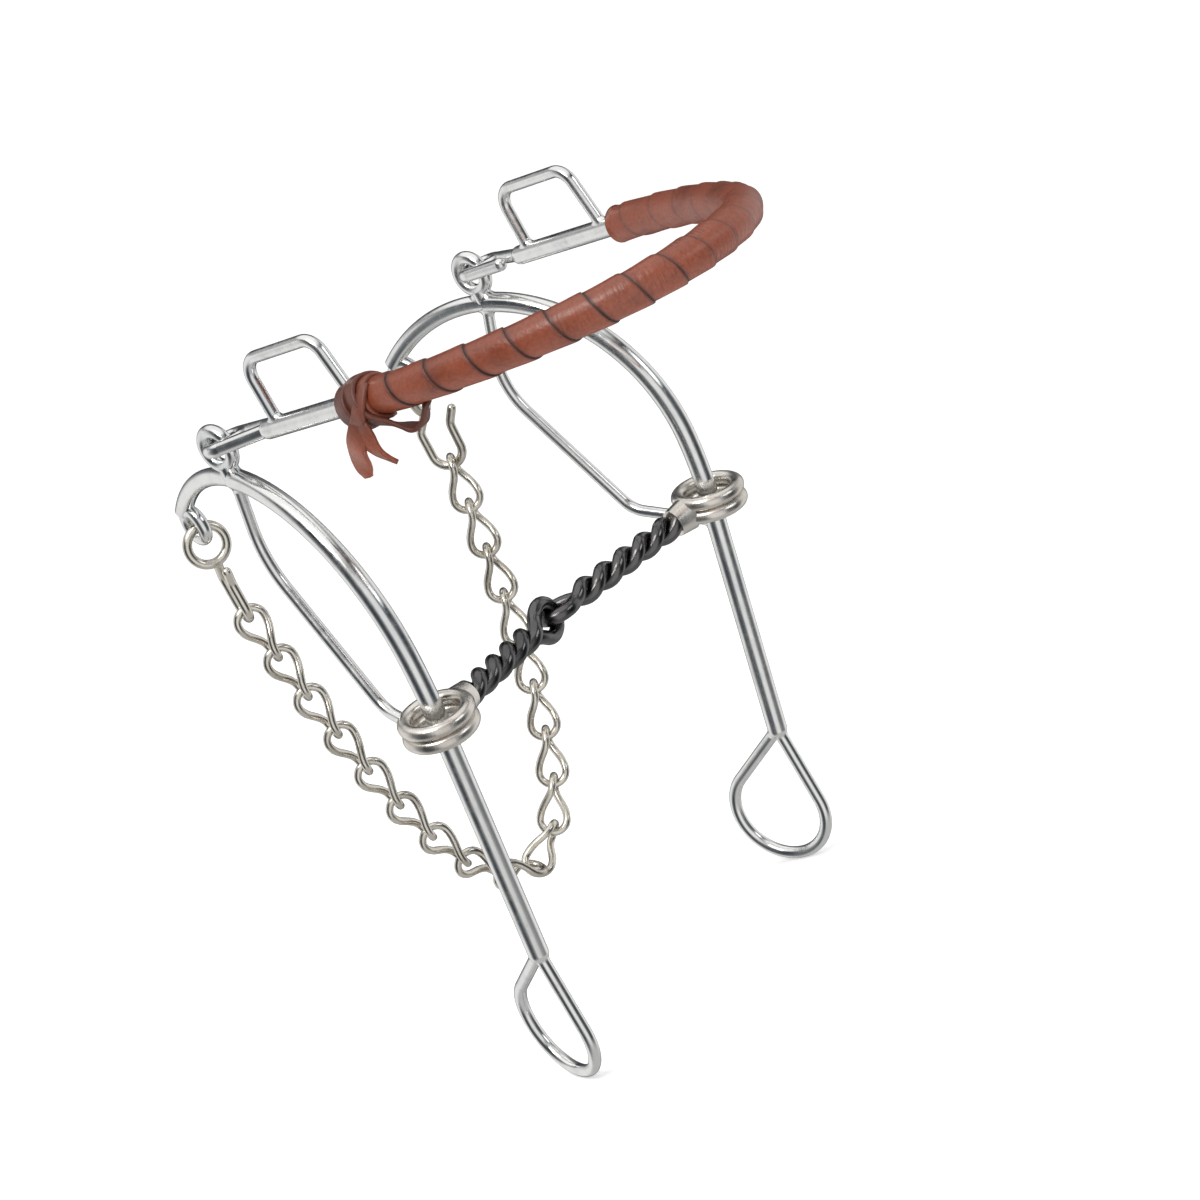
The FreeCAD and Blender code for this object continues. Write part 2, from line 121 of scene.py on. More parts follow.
def ramp(tree, factor, stops):
    """An eased colour ramp of (position, colour) stops."""
    node = tree.nodes.new("ShaderNodeValToRGB")
    tree.links.new(factor, node.inputs[0])
    band = node.color_ramp
    band.interpolation = "EASE"
    while len(band.elements) < len(stops):
        band.elements.new(0.5)
    for element, (place, colour) in zip(band.elements, stops):
        element.position = place
        element.color = (*colour, 1.0)
    return node.outputs[0]


def make_world():
    """Soft boxes round the object with darker gaps between, a bright ceiling and a pale floor below."""
    world = bpy.data.worlds.new("studio")
    bpy.context.scene.world = world
    world.use_nodes = True
    tree = world.node_tree
    tree.nodes.clear()
    direction = add_node(tree, "TexCoord").outputs["Generated"]
    parts = add_node(tree, "SeparateXYZ", {0: direction}).outputs
    heading = math_node(tree, "ARCTAN2", parts["Y"], parts["X"])
    boxes = 3
    facing = math.atan2(CAMERA_BACK[1], CAMERA_BACK[0])
    wave = math_node(tree, "COSINE", math_node(tree, "MULTIPLY_ADD", heading, boxes, -boxes * facing))
    level = math_node(tree, "MULTIPLY_ADD", wave, 0.5, 0.5)
    walls = ramp(tree, level, [(0.0, (0.055, 0.062, 0.070)), (0.35, (0.20, 0.21, 0.22)),
                               (0.85, (0.92, 0.92, 0.91))])
    height = math_node(tree, "MULTIPLY_ADD", parts["Z"], 0.5, 0.5)
    floor_mix = ramp(tree, height, [(0.08, (1, 1, 1)), (0.24, (0, 0, 0))])
    roof_mix = ramp(tree, height, [(0.80, (0, 0, 0)), (0.90, (1, 1, 1))])
    gap_mix = ramp(tree, height, [(0.70, (1, 1, 1)), (0.78, (0.40, 0.40, 0.41))])
    shade = add_node(tree, "Mix", {0: 1.0, 6: walls, 7: gap_mix}, data_type="RGBA", blend_type="MULTIPLY")
    low = add_node(tree, "Mix", {0: floor_mix, 6: shade.outputs[2], 7: (0.55, 0.55, 0.545, 1)},
                   data_type="RGBA")
    high = add_node(tree, "Mix", {0: roof_mix, 6: low.outputs[2], 7: (1.1, 1.1, 1.09, 1)}, data_type="RGBA")
    background = add_node(tree, "Background", {0: high.outputs[2], 1: 1.0})
    output = add_node(tree, "OutputWorld")
    tree.links.new(background.outputs[0], output.inputs[0])


def soft_light(name, place, target, width, height, power, colour):
    data = bpy.data.lights.new(name, "AREA")
    data.shape = "RECTANGLE"
    data.size, data.size_y = width, height
    data.energy = power
    data.color = colour
    light = bpy.data.objects.new(name, data)
    bpy.context.scene.collection.objects.link(light)
    light.location = place
    light.rotation_euler = (Vector(target) - Vector(place)).to_track_quat("-Z", "Y").to_euler()


def stage_material(name, glow):
    material = bpy.data.materials.new(name)
    material.use_nodes = True
    tree = material.node_tree
    shader = tree.nodes["Principled BSDF"]
    shader.inputs["Base Color"].default_value = (0.93, 0.93, 0.925, 1)
    shader.inputs["Roughness"].default_value = 0.9
    shader.inputs["Emission Color"].default_value = (1, 1, 1, 1)
    shader.inputs["Emission Strength"].default_value = glow
    return material


STAGE_REACH, STAGE_RISE, STAGE_STEPS = 3.0, 2.6, 96
FLOOR_GLOW, WALL_GLOW = 0.38, 1.0


def make_stage():
    """A round pale floor, and a far wall that only the camera sees."""
    ground = cad_bounds[0][2]
    rim = []
    for k in range(STAGE_STEPS):
        angle = TAU * k / STAGE_STEPS
        rim.append(Vector((STAGE_REACH * math.cos(angle), STAGE_REACH * math.sin(angle), ground)))
    pairs = [(k, (k + 1) % STAGE_STEPS) for k in range(STAGE_STEPS)]
    floor = mesh_object("studio_floor", [Vector((0, 0, ground))] + rim, [(0, a + 1, b + 1) for a, b in pairs])
    wall = mesh_object("studio_wall", rim + [point + UP * STAGE_RISE for point in rim],
                       [(a, a + STAGE_STEPS, b + STAGE_STEPS, b) for a, b in pairs])
    floor.data.materials.append(stage_material("floor_pale", FLOOR_GLOW))
    wall.data.materials.append(stage_material("wall_pale", WALL_GLOW))
    wall.visible_glossy = wall.visible_diffuse = wall.visible_shadow = False
    floor.visible_glossy = False


# ---- mesh helpers ----------------------------------------------------------------------------------------

def node_middle(node):
    """The middle of a CAD node's box, in millimetres."""
    low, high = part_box(node)
    return (low + high) / 2 / MM


def mesh_object(name, points, faces):
    mesh = bpy.data.meshes.new(name)
    mesh.from_pydata([tuple(point) for point in points], [], faces)
    mesh.validate()
    mesh.shade_smooth()
    mesh.update()
    made = bpy.data.objects.new(name, mesh)
    bpy.context.scene.collection.objects.link(made)
    return made


def grid_faces(rows, columns, wrap_rows=False, start=0):
    """Quads over a grid of rows whose columns close on themselves; rows may close too."""
    faces = []
    for row in range(rows if wrap_rows else rows - 1):
        below = (row + 1) % rows
        for column in range(columns):
            right = (column + 1) % columns
            faces.append(tuple(start + index for index in (
                row * columns + column, row * columns + right,
                below * columns + right, below * columns + column)))
    return faces


def smooth_line(points, per_span=8):
    """A Catmull-Rom line through the points."""
    padded = [points[0] * 2 - points[1]] + list(points) + [points[-1] * 2 - points[-2]]
    line = []
    for a, b, c, d in zip(padded, padded[1:], padded[2:], padded[3:]):
        for step in range(per_span):
            t = step / per_span
            line.append(0.5 * ((2 * b) + (c - a) * t + (2 * a - 5 * b + 4 * c - d) * t**2
                               + (3 * b - a - 3 * c + d) * t**3))
    line.append(points[-1].copy())
    return line


def relax(points, rounds, closed=False):
    """Averages a line's inner points to round its corners."""
    for _ in range(rounds):
        moved = list(points)
        count = len(points)
        for k in range(0 if closed else 1, count if closed else count - 1):
            moved[k] = (points[k - 1] + 2 * points[k] + points[(k + 1) % count]) / 4
        points = moved
    return points


def tube(name, line, radius, sides=16, closed=False):
    """A round wire along a line, its section carried without twist."""
    count = len(line)
    tangents = []
    for k in range(count):
        before = line[k - 1] if closed or k else line[k]
        after = line[(k + 1) % count] if closed or k < count - 1 else line[k]
        tangents.append((after - before).normalized())
    side = tangents[0].orthogonal().normalized()
    frames = []
    for k in range(count):
        if k:
            side = tangents[k - 1].rotation_difference(tangents[k]) @ side
        side = (side - tangents[k] * side.dot(tangents[k])).normalized()
        frames.append(side.copy())
    slip = 0.0
    if closed:
        final = tangents[-1].rotation_difference(tangents[0]) @ frames[-1]
        slip = math.atan2(tangents[0].dot(final.cross(frames[0])), final.dot(frames[0]))
    points = []
    for k, (place, side) in enumerate(zip(line, frames)):
        other = tangents[k].cross(side)
        for n in range(sides):
            angle = TAU * n / sides + slip * k / count
            points.append(place + (side * math.cos(angle) + other * math.sin(angle)) * radius)
    faces = grid_faces(count, sides, wrap_rows=closed)
    if not closed:
        for ring, place in ((0, line[0]), (count - 1, line[-1])):
            hub = len(points)
            points.append(place)
            for n in range(sides):
                pair = (ring * sides + n, ring * sides + (n + 1) % sides)
                faces.append((hub, *pair) if ring else (hub, pair[1], pair[0]))
    return mesh_object(name, points, flip(faces))


def flip(faces):
    return [tuple(reversed(face)) for face in faces]


def set_values(piece, name, values):
    """A number for each vertex, which a material can read."""
    layer = piece.data.attributes.new(name, "FLOAT", "POINT")
    layer.data.foreach_set("value", values)


# ---- materials -------------------------------------------------------------------------------------------

def base_material(name):
    material = bpy.data.materials.new(name)
    material.use_nodes = True
    tree = material.node_tree
    return material, tree, tree.nodes["Principled BSDF"], add_node(tree, "TexCoord").outputs["Object"]


def noise(tree, place, scale, detail=3.0, rough=0.55, stretch=None):
    if stretch:
        place = add_node(tree, "Mapping", {0: place, 3: stretch}).outputs[0]
    return add_node(tree, "TexNoise", {"Vector": place, "Scale": scale, "Detail": detail,
                                       "Roughness": rough}).outputs["Fac"]


def span(tree, value, low, high, start=0.3, stop=0.7):
    """Maps a texture's usual range to low..high."""
    return add_node(tree, "MapRange", {0: value, 1: start, 2: stop, 3: low, 4: high},
                    interpolation_type="SMOOTHSTEP").outputs[0]


def metal(name, light, dark, tarnish, smooth_rough, worn_rough, grain, spots):
    """Bare or plated metal: cloudy colour, handling smears, hairline scratches and small dents."""
    material, tree, shader, place = base_material(name)
    cloud = noise(tree, place, 55.0, 4.0)
    fine = noise(tree, place, 420.0)
    blotch = noise(tree, place, 130.0, 5.0, 0.65)
    colour = ramp(tree, cloud, [(0.30, dark), (0.52, light), (0.75, light)])
    worn = ramp(tree, blotch, [(0.60, (0, 0, 0)), (0.78, (1, 1, 1))])
    amount = math_node(tree, "MULTIPLY", worn, spots)
    mixed = add_node(tree, "Mix", {0: amount, 6: colour, 7: (*tarnish, 1)}, data_type="RGBA").outputs[2]
    tree.links.new(mixed, shader.inputs["Base Color"])
    smear = span(tree, blotch, smooth_rough, worn_rough, 0.35, 0.75)
    hair = span(tree, fine, -0.03, 0.05)
    tree.links.new(math_node(tree, "ADD", smear, hair), shader.inputs["Roughness"])
    shader.inputs["Metallic"].default_value = 1.0
    scratch = noise(tree, place, 900.0, 2.0, 0.7, stretch=(1, 1, 0.12))
    dents = add_node(tree, "TexVoronoi", {"Vector": place, "Scale": 160.0}, feature="SMOOTH_F1").outputs[0]
    height = math_node(tree, "ADD", math_node(tree, "MULTIPLY", scratch, 0.35),
                       math_node(tree, "MULTIPLY", dents, 0.5))
    height = math_node(tree, "ADD", height, math_node(tree, "MULTIPLY", cloud, 1.2))
    bump = add_node(tree, "Bump", {"Height": height, "Strength": grain, "Distance": 0.0004})
    tree.links.new(bump.outputs[0], shader.inputs["Normal"])
    return material


def leather(name, tan, deep, edge_and_shade_colour):
    """Smooth red-brown leather: mottled dye, dark cut edges plus painted shade in the steps between turns, under
    the strip and in the knot's folds, pores and fine creases across the strip.
    """
    material, tree, shader, place = base_material(name)
    cloud = noise(tree, place, 70.0, 5.0, 0.6)
    speck = noise(tree, place, 900.0, 3.0, 0.7)
    colour = ramp(tree, cloud, [(0.25, deep), (0.5, tan), (0.8, tuple(channel * 1.18 for channel in tan))])
    dust = ramp(tree, speck, [(0.35, (0.80, 0.78, 0.76)), (0.60, (1, 1, 1))])
    colour = add_node(tree, "Mix", {0: 1.0, 6: colour, 7: dust}, data_type="RGBA",
                      blend_type="MULTIPLY").outputs[2]
    # Mixes towards the dark edge colour: partly the leather's darker cut edge, partly painted shade in the steps
    # between turns, under the strip and in the knot's folds.
    edge = add_node(tree, "Attribute", attribute_name="edge").outputs["Fac"]
    cut_edge_and_shade = math_node(tree, "MULTIPLY", edge, span(tree, cloud, 0.75, 1.0))
    colour = add_node(tree, "Mix", {0: cut_edge_and_shade, 6: colour, 7: (*edge_and_shade_colour, 1)}, data_type="RGBA").outputs[2]
    tree.links.new(colour, shader.inputs["Base Color"])
    gloss = span(tree, noise(tree, place, 190.0, 4.0), 0.30, 0.46)
    dull = math_node(tree, "ADD", gloss, math_node(tree, "MULTIPLY", edge, 0.2))
    tree.links.new(dull, shader.inputs["Roughness"])
    shader.inputs["Specular IOR Level"].default_value = 0.55
    shader.inputs["Coat Weight"].default_value = 0.22
    shader.inputs["Coat Roughness"].default_value = 0.3
    pores = add_node(tree, "TexVoronoi", {"Vector": place, "Scale": 1100.0}, feature="SMOOTH_F1").outputs[0]
    crease = add_node(tree, "Attribute", attribute_name="crease").outputs["Fac"]
    along = add_node(tree, "Attribute", attribute_name="along").outputs["Fac"]
    streak = add_node(tree, "TexNoise", {"W": along, "Scale": 0.9, "Detail": 3.0},
                      noise_dimensions="1D").outputs["Fac"]
    folds = math_node(tree, "MULTIPLY", streak, math_node(tree, "MULTIPLY", crease, 1.6))
    height = math_node(tree, "ADD", math_node(tree, "MULTIPLY", pores, 0.35), folds)
    height = math_node(tree, "ADD", height, math_node(tree, "MULTIPLY", cloud, 0.9))
    bump = add_node(tree, "Bump", {"Height": height, "Strength": 0.5, "Distance": 0.0005})
    tree.links.new(bump.outputs[0], shader.inputs["Normal"])
    return material


# ---- leather wrap ----------------------------------------------------------------------------------------

EYE_HALF_WIDTH, EYE_BACK = 66.0, -177.7
LEG_LENGTH, LEG_TAPER, NOSE_RADIUS, NOSE_AHEAD = 90.0, math.radians(2.1), 46.0, 184.0
WRAP_START = 85.0
STRIP_TOP_LOW, STRIP_TOP_HIGH, STRIP_THICK = 6.05, 6.5, 0.7
PITCH_NOSE, PITCH_GROWTH, STRIP_OVERLAP = 10.2, 0.058, 1.28
EDGE_SEEN, EDGE_FACING, EDGE_STEP = 115.5, math.radians(23), math.radians(9)
LINING_INNER, LINING_OUTER, LINING_LIP, LINING_STEPS, LINING_SIDES = 3.35, 5.3, 1.6, 90, 32
CREASE_REACH = 70


class Noseband:
    """The U's centreline, in millimetres along from the right eye."""

    def __init__(self):
        across = Vector((math.cos(LEG_TAPER), math.sin(LEG_TAPER), 0))
        self.nose = Vector((0, EYE_BACK + NOSE_AHEAD - NOSE_RADIUS, 0))
        self.leg_end = Vector((EYE_HALF_WIDTH - LEG_LENGTH * math.tan(LEG_TAPER), EYE_BACK + LEG_LENGTH, 0))
        gap = self.leg_end - self.nose
        self.shoulder = (gap.dot(gap) - NOSE_RADIUS**2) / (2 * (gap.dot(across) - NOSE_RADIUS))
        self.centre = self.leg_end - across * self.shoulder
        reach = self.nose - self.centre
        self.sweep = math.atan2(reach.y, reach.x)
        self.leg = LEG_LENGTH / math.cos(LEG_TAPER)
        self.arc = self.shoulder * (self.sweep - LEG_TAPER)
        self.half = self.leg + self.arc + NOSE_RADIUS * (math.pi / 2 - self.sweep)
        self.length = 2 * self.half

    def at(self, distance):
        """The point and the outward direction at a distance."""
        mirrored = distance > self.half
        run = self.length - distance if mirrored else distance
        if run < self.leg:
            angle = LEG_TAPER
            along = Vector((-math.sin(angle), math.cos(angle), 0))
            point = Vector((EYE_HALF_WIDTH, EYE_BACK, 0)) + along * run
        elif run < self.leg + self.arc:
            angle = LEG_TAPER + (run - self.leg) / self.shoulder
            point = self.centre + Vector((math.cos(angle), math.sin(angle), 0)) * self.shoulder
        else:
            angle = self.sweep + (run - self.leg - self.arc) / NOSE_RADIUS
            point = self.nose + Vector((math.cos(angle), math.sin(angle), 0)) * NOSE_RADIUS
        outward = Vector((math.cos(angle), math.sin(angle), 0))
        if mirrored:
            point.x, outward.x = -point.x, -outward.x
        return point, outward

    def skin(self, distance, angle, radius):
        """A point at a radius and an angle round the tube: 0 outwards, a quarter turn up."""
        point, outward = self.at(distance)
        return (point + (outward * math.cos(angle) + UP * math.sin(angle)) * radius) * MM


band = Noseband()


def strip_pitch(distance):
    return PITCH_NOSE + PITCH_GROWTH * abs(distance - band.half)


def strip_edges(step):
    """Where the strip's exposed edge lies at each step of turn, from one end of the wrap to past the other."""
    place = EDGE_SEEN
    angle = EDGE_FACING
    while place > WRAP_START:
        place -= strip_pitch(place) * step / TAU
        angle += step
    edges = []
    last = band.length - WRAP_START
    while place < last + STRIP_OVERLAP * strip_pitch(last):
        edges.append((place, angle))
        place += strip_pitch(place) * step / TAU
        angle -= step
    return edges


def strip_profile():
    """Across the strip: share of its width from the covered edge, share of its rise, edge darkness (painted shade
    where the covered edge tucks under the turn before, and a darker cut edge at the exposed rim).
    """
    # Full darkness on the covered edge is painted shade in the step; the dark tip at the exposed rim is the cut
    # edge.
    top = [(0.0, 0.0, 1.0), (0.12, 0.0, 1.0), (0.22, 0.0, 1.0), (0.26, 0.03, 0.25), (0.34, 0.10, 0.0)]
    top += [(0.45, 0.22, 0.0), (0.58, 0.40, 0.0), (0.70, 0.60, 0.0), (0.80, 0.79, 0.0), (0.89, 0.93, 0.0)]
    top += [(0.95, 1.0, 0.10), (0.985, 0.96, 0.55), (1.0, 0.78, 0.9)]
    return top


def make_wrap():
    first, last = WRAP_START, band.length - WRAP_START
    profile = strip_profile()
    points, edge, crease, along = [], [], [], []
    rise = STRIP_TOP_HIGH - STRIP_TOP_LOW
    edges = strip_edges(EDGE_STEP)
    for place, angle in edges:
        width = STRIP_OVERLAP * strip_pitch(place)
        bend_near = max(0.0, 1 - abs(place - band.half) / CREASE_REACH)
        ring = [(share, lift, dark, 0.0) for share, lift, dark in profile]
        # The strip's underside is set fully dark: painted shade under the strip.
        ring += [(share, lift, 1.0, STRIP_THICK) for share, lift, dark in reversed(profile)]
        for share, lift, dark, under in ring:
            spot = min(max(place - (1 - share) * width, first), last)
            radius = STRIP_TOP_LOW + rise * lift - under
            points.append(band.skin(spot, angle, radius))
            edge.append(dark)
            crease.append(bend_near)
            along.append(spot)
    columns = 2 * len(profile)
    rows = len(edges)
    faces = grid_faces(rows, columns)
    faces += [tuple(range(columns)), tuple(reversed(range((rows - 1) * columns, rows * columns)))]
    base = len(points)
    mouth = [(0.3, LINING_INNER), (0.3, 4.6), (0.6, 5.2), (LINING_LIP, LINING_OUTER)]
    lining = [(first + inset, radius) for inset, radius in mouth]
    lining += [(first + LINING_LIP + (last - first - 2 * LINING_LIP) * k / LINING_STEPS, LINING_OUTER)
               for k in range(1, LINING_STEPS)]
    lining += [(last - inset, radius) for inset, radius in reversed(mouth)]
    lining += [(last - (last - first) * k / LINING_STEPS, LINING_INNER) for k in range(1, LINING_STEPS)]
    for spot, radius in lining:
        for n in range(LINING_SIDES):
            points.append(band.skin(spot, -TAU * n / LINING_SIDES, radius))
            # The lining under the wrap is darkened: painted shade under the strip.
            edge.append(0.75)
            crease.append(0.0)
            along.append(spot)
    faces += grid_faces(len(lining), LINING_SIDES, wrap_rows=True, start=base)
    piece = mesh_object("noseband_wrap_strip", points, faces)
    for name, values in (("edge", edge), ("crease", crease), ("along", along)):
        set_values(piece, name, values)
    merge_close(piece)
    piece.data.materials.append(MATERIALS["leather"])
    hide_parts("noseband_wrap")
    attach(piece, "noseband")


def merge_close(piece, distance=2e-6):
    mesh = bmesh.new()
    mesh.from_mesh(piece.data)
    bmesh.ops.remove_doubles(mesh, verts=mesh.verts, dist=distance)
    bmesh.ops.dissolve_degenerate(mesh, edges=mesh.edges, dist=distance)
    bmesh.ops.recalc_face_normals(mesh, faces=mesh.faces)
    mesh.to_mesh(piece.data)
    mesh.free()
    piece.data.shade_smooth()


# ---- knot ------------------------------------------------------------------------------------------------

KNOT_THICK = 1.7


def strap_section(width, thick):
    """Round-edged flat section: across and through, from one edge round to it again."""
    half, depth = width / 2, thick / 2
    corner = min(depth, half) * 0.8
    section = []
    for sx, sy, start in ((1, -1, -90), (1, 1, 0), (-1, 1, 90), (-1, -1, 180)):
        for k in range(4):
            angle = math.radians(start + 30 * k)
            section.append((sx * (half - corner) + corner * math.cos(angle),
                            sy * (depth - corner) + corner * math.sin(angle)))
    return section


def strap(places):
    """Rings of a flat strap through (distance, angle, radius, lean, width) places, given round the tube."""
    controls = [Vector(place[:3]) for place in places]
    extras = [Vector((*place[3:], 0)) for place in places]
    line, extra = smooth_line(controls, 7), smooth_line(extras, 7)
    centres = [band.skin(point.x, math.radians(point.y), point.z) / MM for point in line]
    rings = []
    for k, centre in enumerate(centres):
        before, after = centres[max(k - 1, 0)], centres[min(k + 1, len(centres) - 1)]
        tangent = (after - before).normalized()
        axis, _ = band.at(line[k].x)
        out = (centre - axis).normalized()
        out = (out - tangent * out.dot(tangent)).normalized()
        out = Quaternion(tangent, math.radians(extra[k].x)) @ out
        across = tangent.cross(out)
        rings.append([centre + across * x + out * y for x, y in strap_section(extra[k].y, KNOT_THICK)])
    return rings


def make_knot():
    """The strip's end: a drawn-in collar, a crossing band, a loop under the tube and two short tails."""
    collar = [(WRAP_START - 1.6 + turn * 0.8, 80 - 90 * turn, 6.3 + 0.10 * turn, 0, 4.4) for turn in range(7)]
    crossing = [(86.5, 165, 6.9, 0, 4.0), (84.0, 118, 7.4, 0, 5.5), (82.5, 70, 7.8, 8, 6.5),
                (83.4, 20, 8.1, 10, 7.0), (86.2, -25, 8.2, 8, 6.6), (89.6, -62, 8.6, 0, 6.2),
                (93.0, -84, 11.2, 0, 6.4), (97.0, -90, 13.0, 0, 6.2), (101.0, -92, 11.4, 0, 5.8),
                (103.4, -98, 7.6, 0, 5.0), (103.8, -112, 6.2, 0, 4.4)]
    lump = [(79.0, 120, 5.6, 0, 4.0), (78.0, 75, 6.8, 10, 5.5), (78.2, 25, 8.0, 14, 6.6),
            (80.0, -20, 8.8, 10, 7.0), (83.0, -58, 8.6, 0, 6.0), (86.4, -100, 6.8, 0, 4.4)]
    second = [(88.6, 60, 6.4, 0, 3.6), (87.8, 20, 7.6, 0, 4.6), (85.4, -12, 9.6, 12, 5.4),
              (81.6, -34, 10.0, 10, 5.2), (78.2, -62, 8.2, 0, 4.0)]
    broad = [(83.4, -22, 8.6, 0, 5.0), (81.6, -34, 12.0, 24, 7.0), (79.2, -46, 15.6, 34, 8.8),
             (77.6, -56, 18.8, 24, 8.2), (76.8, -62, 21.6, 8, 6.0), (76.6, -65, 23.6, 0, 3.4)]
    narrow = [(84.2, -24, 8.8, 0, 5.0), (84.8, -36, 12.0, -14, 6.6), (85.6, -47, 15.0, -22, 6.4),
              (87.0, -55, 17.6, -22, 4.6), (89.0, -61, 19.6, -14, 3.0), (91.0, -66, 21.4, -8, 1.6)]
    points, faces, edge = [], [], []
    # Darkness per strap: painted shade in the knot's folds and under its crossing band.
    for places, dark in ((collar, 0.25), (crossing, 0.72), (lump, 0.8), (second, 0.45),
                         (broad, 0.0), (narrow, 0.05)):
        rings = strap(places)
        columns = len(rings[0])
        start = len(points)
        for k, ring in enumerate(rings):
            points += [point * MM for point in ring]
            # The tails darken near their start: painted shade where they come out from under the band.
            near = max(0.0, 1 - k / 14) if dark < 0.2 else 0.0
            edge += [min(1.0, dark + 0.8 * near)] * columns
        faces += grid_faces(len(rings), columns, start=start)
        end = start + (len(rings) - 1) * columns
        faces += [tuple(range(start, start + columns)), tuple(reversed(range(end, end + columns)))]
    piece = mesh_object("wrap_knot_straps", points, faces)
    set_values(piece, "edge", edge)
    merge_close(piece)
    piece.data.materials.append(MATERIALS["leather"])
    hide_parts("wrap_knot")
    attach(piece, "noseband")


# ---- mouthpiece ------------------------------------------------------------------------------------------

RING_BEND, FERRULE_LENGTH, STRAND_ROD, STRAND_TURNS = 11.0, 7.0, 5.2, 2.6
STRAND_OFFSET, LINK_BEND, LINK_PLAY = 2.62, 6.2, 0.3
WIRE_HIDDEN, LOOP_NECK, LOOP_OPENING, STRAND_STEPS, WIRE_EASING = 1.5, 1.2, 38, 72, 6


def make_mouth_bar(side, hand):
    """One wire run out from the ferrule, round the centre loop and back, its two strands twisted together."""
    ring = node_middle(f"mouth_ring_{hand}")
    link = Vector(joints["mouth_fold"]["pos_m"]) / MM
    inward = (link - ring).normalized()
    wire = STRAND_ROD / 2
    centre = Vector((side * (LINK_BEND - wire - LINK_PLAY / 2), link.y, link.z))
    plane = Vector((0, 1, 0)) if side > 0 else Vector((0, 0, 1))
    across = plane.cross(inward).normalized()
    other = inward.cross(across)
    start = RING_BEND + FERRULE_LENGTH - WIRE_HIDDEN
    neck = (link - ring).length - (centre - link).length - LINK_BEND - LOOP_NECK

    def strand(way):
        line = []
        for k in range(STRAND_STEPS + 1):
            share = k / STRAND_STEPS
            angle = TAU * STRAND_TURNS * (1 - share)
            offset = (across * math.cos(angle) + other * math.sin(angle)) * (STRAND_OFFSET * way)
            line.append(ring + inward * (start + (neck - start) * share) + offset)
        return line

    forward = centre - ring
    forward = (forward - across * forward.dot(across)).normalized()
    loop = []
    for degrees in range(LOOP_OPENING, 360 - LOOP_OPENING + 1, 6):
        angle = math.radians(degrees)
        loop.append(centre + (-forward * math.cos(angle) + across * math.sin(angle)) * LINK_BEND)
    line = strand(1) + loop + list(reversed(strand(-1)))
    piece = tube(f"mouth_wire_{hand}", [point * MM for point in relax(line, WIRE_EASING)], wire * MM, 18)
    piece.data.materials.append(MATERIALS["blued_wire"])
    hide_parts(f"mouth_bar_{hand}")
    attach(piece, f"mouth_{hand}")


# ---- curb chain ------------------------------------------------------------------------------------------

CHAIN_ROD, CHAIN_PITCH, CHAIN_BEND, CHAIN_TWIST, CHAIN_PLAY = 2.9, 18.4, 5.3, 42.0, 0.6
CHAIN_ROLL, LINKS_A_SIDE = {"right": 107.0, "left": 3.0}, 9
LINK_WAIST, LINK_EASING = 0.10, 2


def link_line(high, low, roll):
    """A twisted link's closed centreline between its two joint points."""
    reach = CHAIN_PITCH / 2 + CHAIN_ROD / 2 + CHAIN_PLAY / 2 - CHAIN_BEND
    lay = UP.rotation_difference(high - low) @ Quaternion(UP, math.radians(roll))
    middle = (high + low) / 2
    outline = []
    for way in (1, -1):
        for degrees in range(0, 181, 12):
            angle = math.radians(degrees)
            outline.append(Vector((CHAIN_BEND * math.cos(angle) * way, 0,
                                   (reach + CHAIN_BEND * math.sin(angle)) * way)))
        outline += [Vector((-CHAIN_BEND * way, 0, reach * (1 - third / 3) * way)) for third in (1, 2, 3, 4, 5)]
    line = []
    for point in outline:
        share = max(-1.0, min(1.0, point.z / reach))
        turn = math.radians(CHAIN_TWIST) * math.sin(share * math.pi / 2)
        waist = 1 - LINK_WAIST * (1 - share * share)
        line.append(middle + lay @ (Quaternion(UP, turn) @ Vector((point.x * waist, 0, point.z))))
    return relax(line, LINK_EASING, closed=True)


def make_chain():
    for hand, first in (("right", 1), ("left", LINKS_A_SIDE + 1)):
        for index in range(LINKS_A_SIDE):
            number = first + index
            high = Vector(joints[f"link_swing_{number:02d}"]["pos_m"])
            if index < LINKS_A_SIDE - 1:
                low = Vector(joints[f"link_swing_{number + 1:02d}"]["pos_m"])
            else:
                node = frame["nodes"][f"curb_link_{number:02d}"]
                mean = sum((vertex.co for vertex in node.data.vertices), Vector()) / len(node.data.vertices)
                low = high + (mean - high).normalized() * (CHAIN_PITCH * MM)
            line = link_line(high / MM, low / MM, CHAIN_ROLL[hand])
            piece = tube(f"chain_link_{number:02d}", [point * MM for point in line], CHAIN_ROD / 2 * MM, 14,
                         closed=True)
            piece.data.materials.append(MATERIALS["nickel"])
            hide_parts(f"curb_link_{number:02d}")
            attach(piece, f"link_{number:02d}")


# ---- weld beads ------------------------------------------------------------------------------------------

CHEEK_YAW = math.radians(10.8)
BOW_BACK, BOW_DROP, BOW_RADIUS = 15.8, 79.9, 68.8
BRACE_KINK, BRACE_FOOT, BRACE_JOIN = (-12.5, 44.0), (16.0, 104.0), 117.0
SHANK_LEAN = math.radians(12.5)
NECK_RADIUS, BRACE_RADIUS, SLOT_RADIUS = 3.3, 2.1, 2.1
SLOT_REAR, SLOT_FRONT, SLOT_LEAN, SLOT_HEIGHT = 36.0, 77.0, 5.0, 24.0
BEAD_STEPS, BEAD_ROWS, BEAD_SINK = 40, 9, 0.12
CROTCH_DROP, REIN_CENTRE, REIN_RADIUS, REIN_ROD = 202.0, (12.0, 235.0), 19.0, 4.6


def cheek_place(side, forward, down):
    """A point in a cheek's plane, forward and down from its pivot."""
    return Vector((side * (EYE_HALF_WIDTH + math.sin(CHEEK_YAW) * forward),
                   EYE_BACK + math.cos(CHEEK_YAW) * forward, -down))


